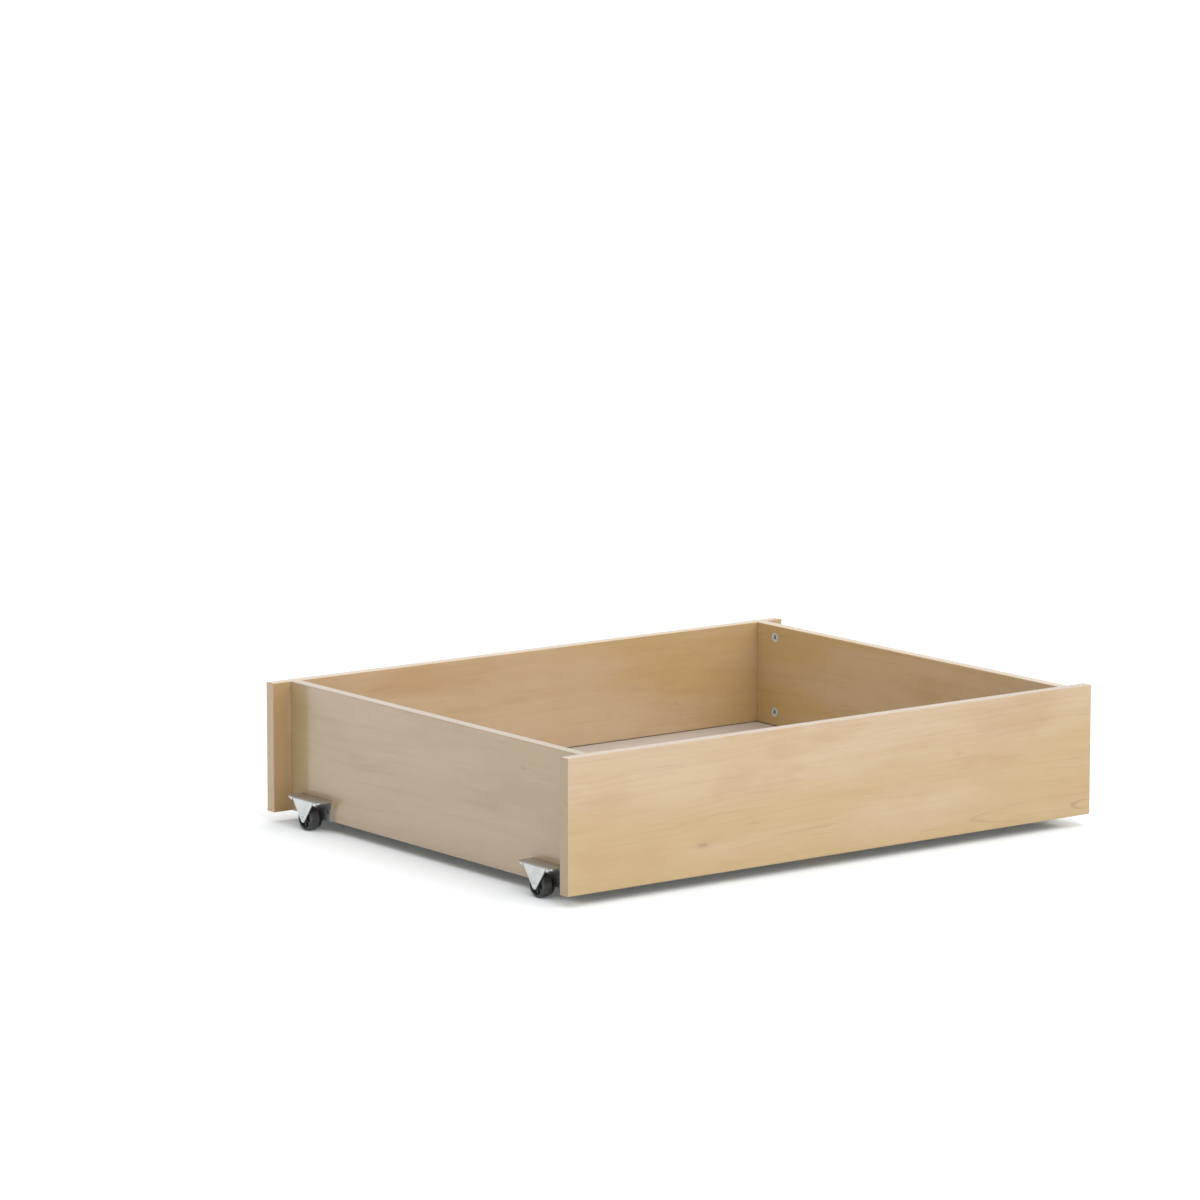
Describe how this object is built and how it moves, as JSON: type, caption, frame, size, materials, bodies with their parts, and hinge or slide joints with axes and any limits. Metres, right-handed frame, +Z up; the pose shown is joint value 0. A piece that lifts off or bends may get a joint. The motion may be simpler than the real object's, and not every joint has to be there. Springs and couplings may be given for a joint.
{
  "type": "under bed box",
  "caption": "Low open-topped wooden storage drawer with front and back boards that pass its sides, a thin bottom board, and fixed casters on its sides for rolling under a bed.",
  "frame": {"origin": "on the floor, under the middle of the box", "axes": "+X right along the front board, +Y from the front board to the back board, +Z up"},
  "size_m": [0.95, 0.74, 0.2085],
  "materials": {
    "board": "satin lacquered light wood board, grain along its length",
    "bottom_board": "thin fibreboard, pale grey-white lacquer with a faint grain",
    "rail": "planed raw softwood",
    "dowel": "raw turned beech",
    "bracket": "zinc-plated pressed sheet steel",
    "fitting": "bright zinc die casting",
    "rivet": "bright zinc-plated steel",
    "screw": "zinc-plated steel",
    "wheel": "moulded black plastic"
  },
  "bodies": {
    "box": {"front_panel": "board", "back_panel": "board", "left_side_panel": "board", "right_side_panel": "board", "bottom_panel": "bottom_board", "centre_rail": "rail", "corner_dowels_front": "dowel", "corner_dowels_back": "dowel", "rail_dowels": "dowel", "cam_bolts_front": "screw", "cam_bolts_back": "screw", "cam_locks_left": "fitting", "cam_locks_right": "fitting", "caster_bracket_front_left": "bracket", "caster_bracket_front_right": "bracket", "caster_bracket_back_left": "bracket", "caster_bracket_back_right": "bracket", "axle_rivet_front_left": "rivet", "axle_rivet_front_right": "rivet", "axle_rivet_back_left": "rivet", "axle_rivet_back_right": "rivet", "bracket_screws_front_left": "screw", "bracket_screws_front_right": "screw", "bracket_screws_back_left": "screw", "bracket_screws_back_right": "screw"},
    "front_left_wheel": {"wheel_front_left": "wheel"},
    "front_right_wheel": {"wheel_front_right": "wheel"},
    "back_left_wheel": {"wheel_back_left": "wheel"},
    "back_right_wheel": {"wheel_back_right": "wheel"}
  },
  "joints": [
    {"name": "front_left_roll", "type": "hinge", "parent": "box", "child": "front_left_wheel", "pos_m": [-0.45825, -0.2855, 0.0175], "axis": [1, 0, 0], "continuous": true},
    {"name": "front_right_roll", "type": "hinge", "parent": "box", "child": "front_right_wheel", "pos_m": [0.45825, -0.2855, 0.0175], "axis": [1, 0, 0], "continuous": true},
    {"name": "back_left_roll", "type": "hinge", "parent": "box", "child": "back_left_wheel", "pos_m": [-0.45825, 0.2855, 0.0175], "axis": [1, 0, 0], "continuous": true},
    {"name": "back_right_roll", "type": "hinge", "parent": "box", "child": "back_right_wheel", "pos_m": [0.45825, 0.2855, 0.0175], "axis": [1, 0, 0], "continuous": true}
  ]
}
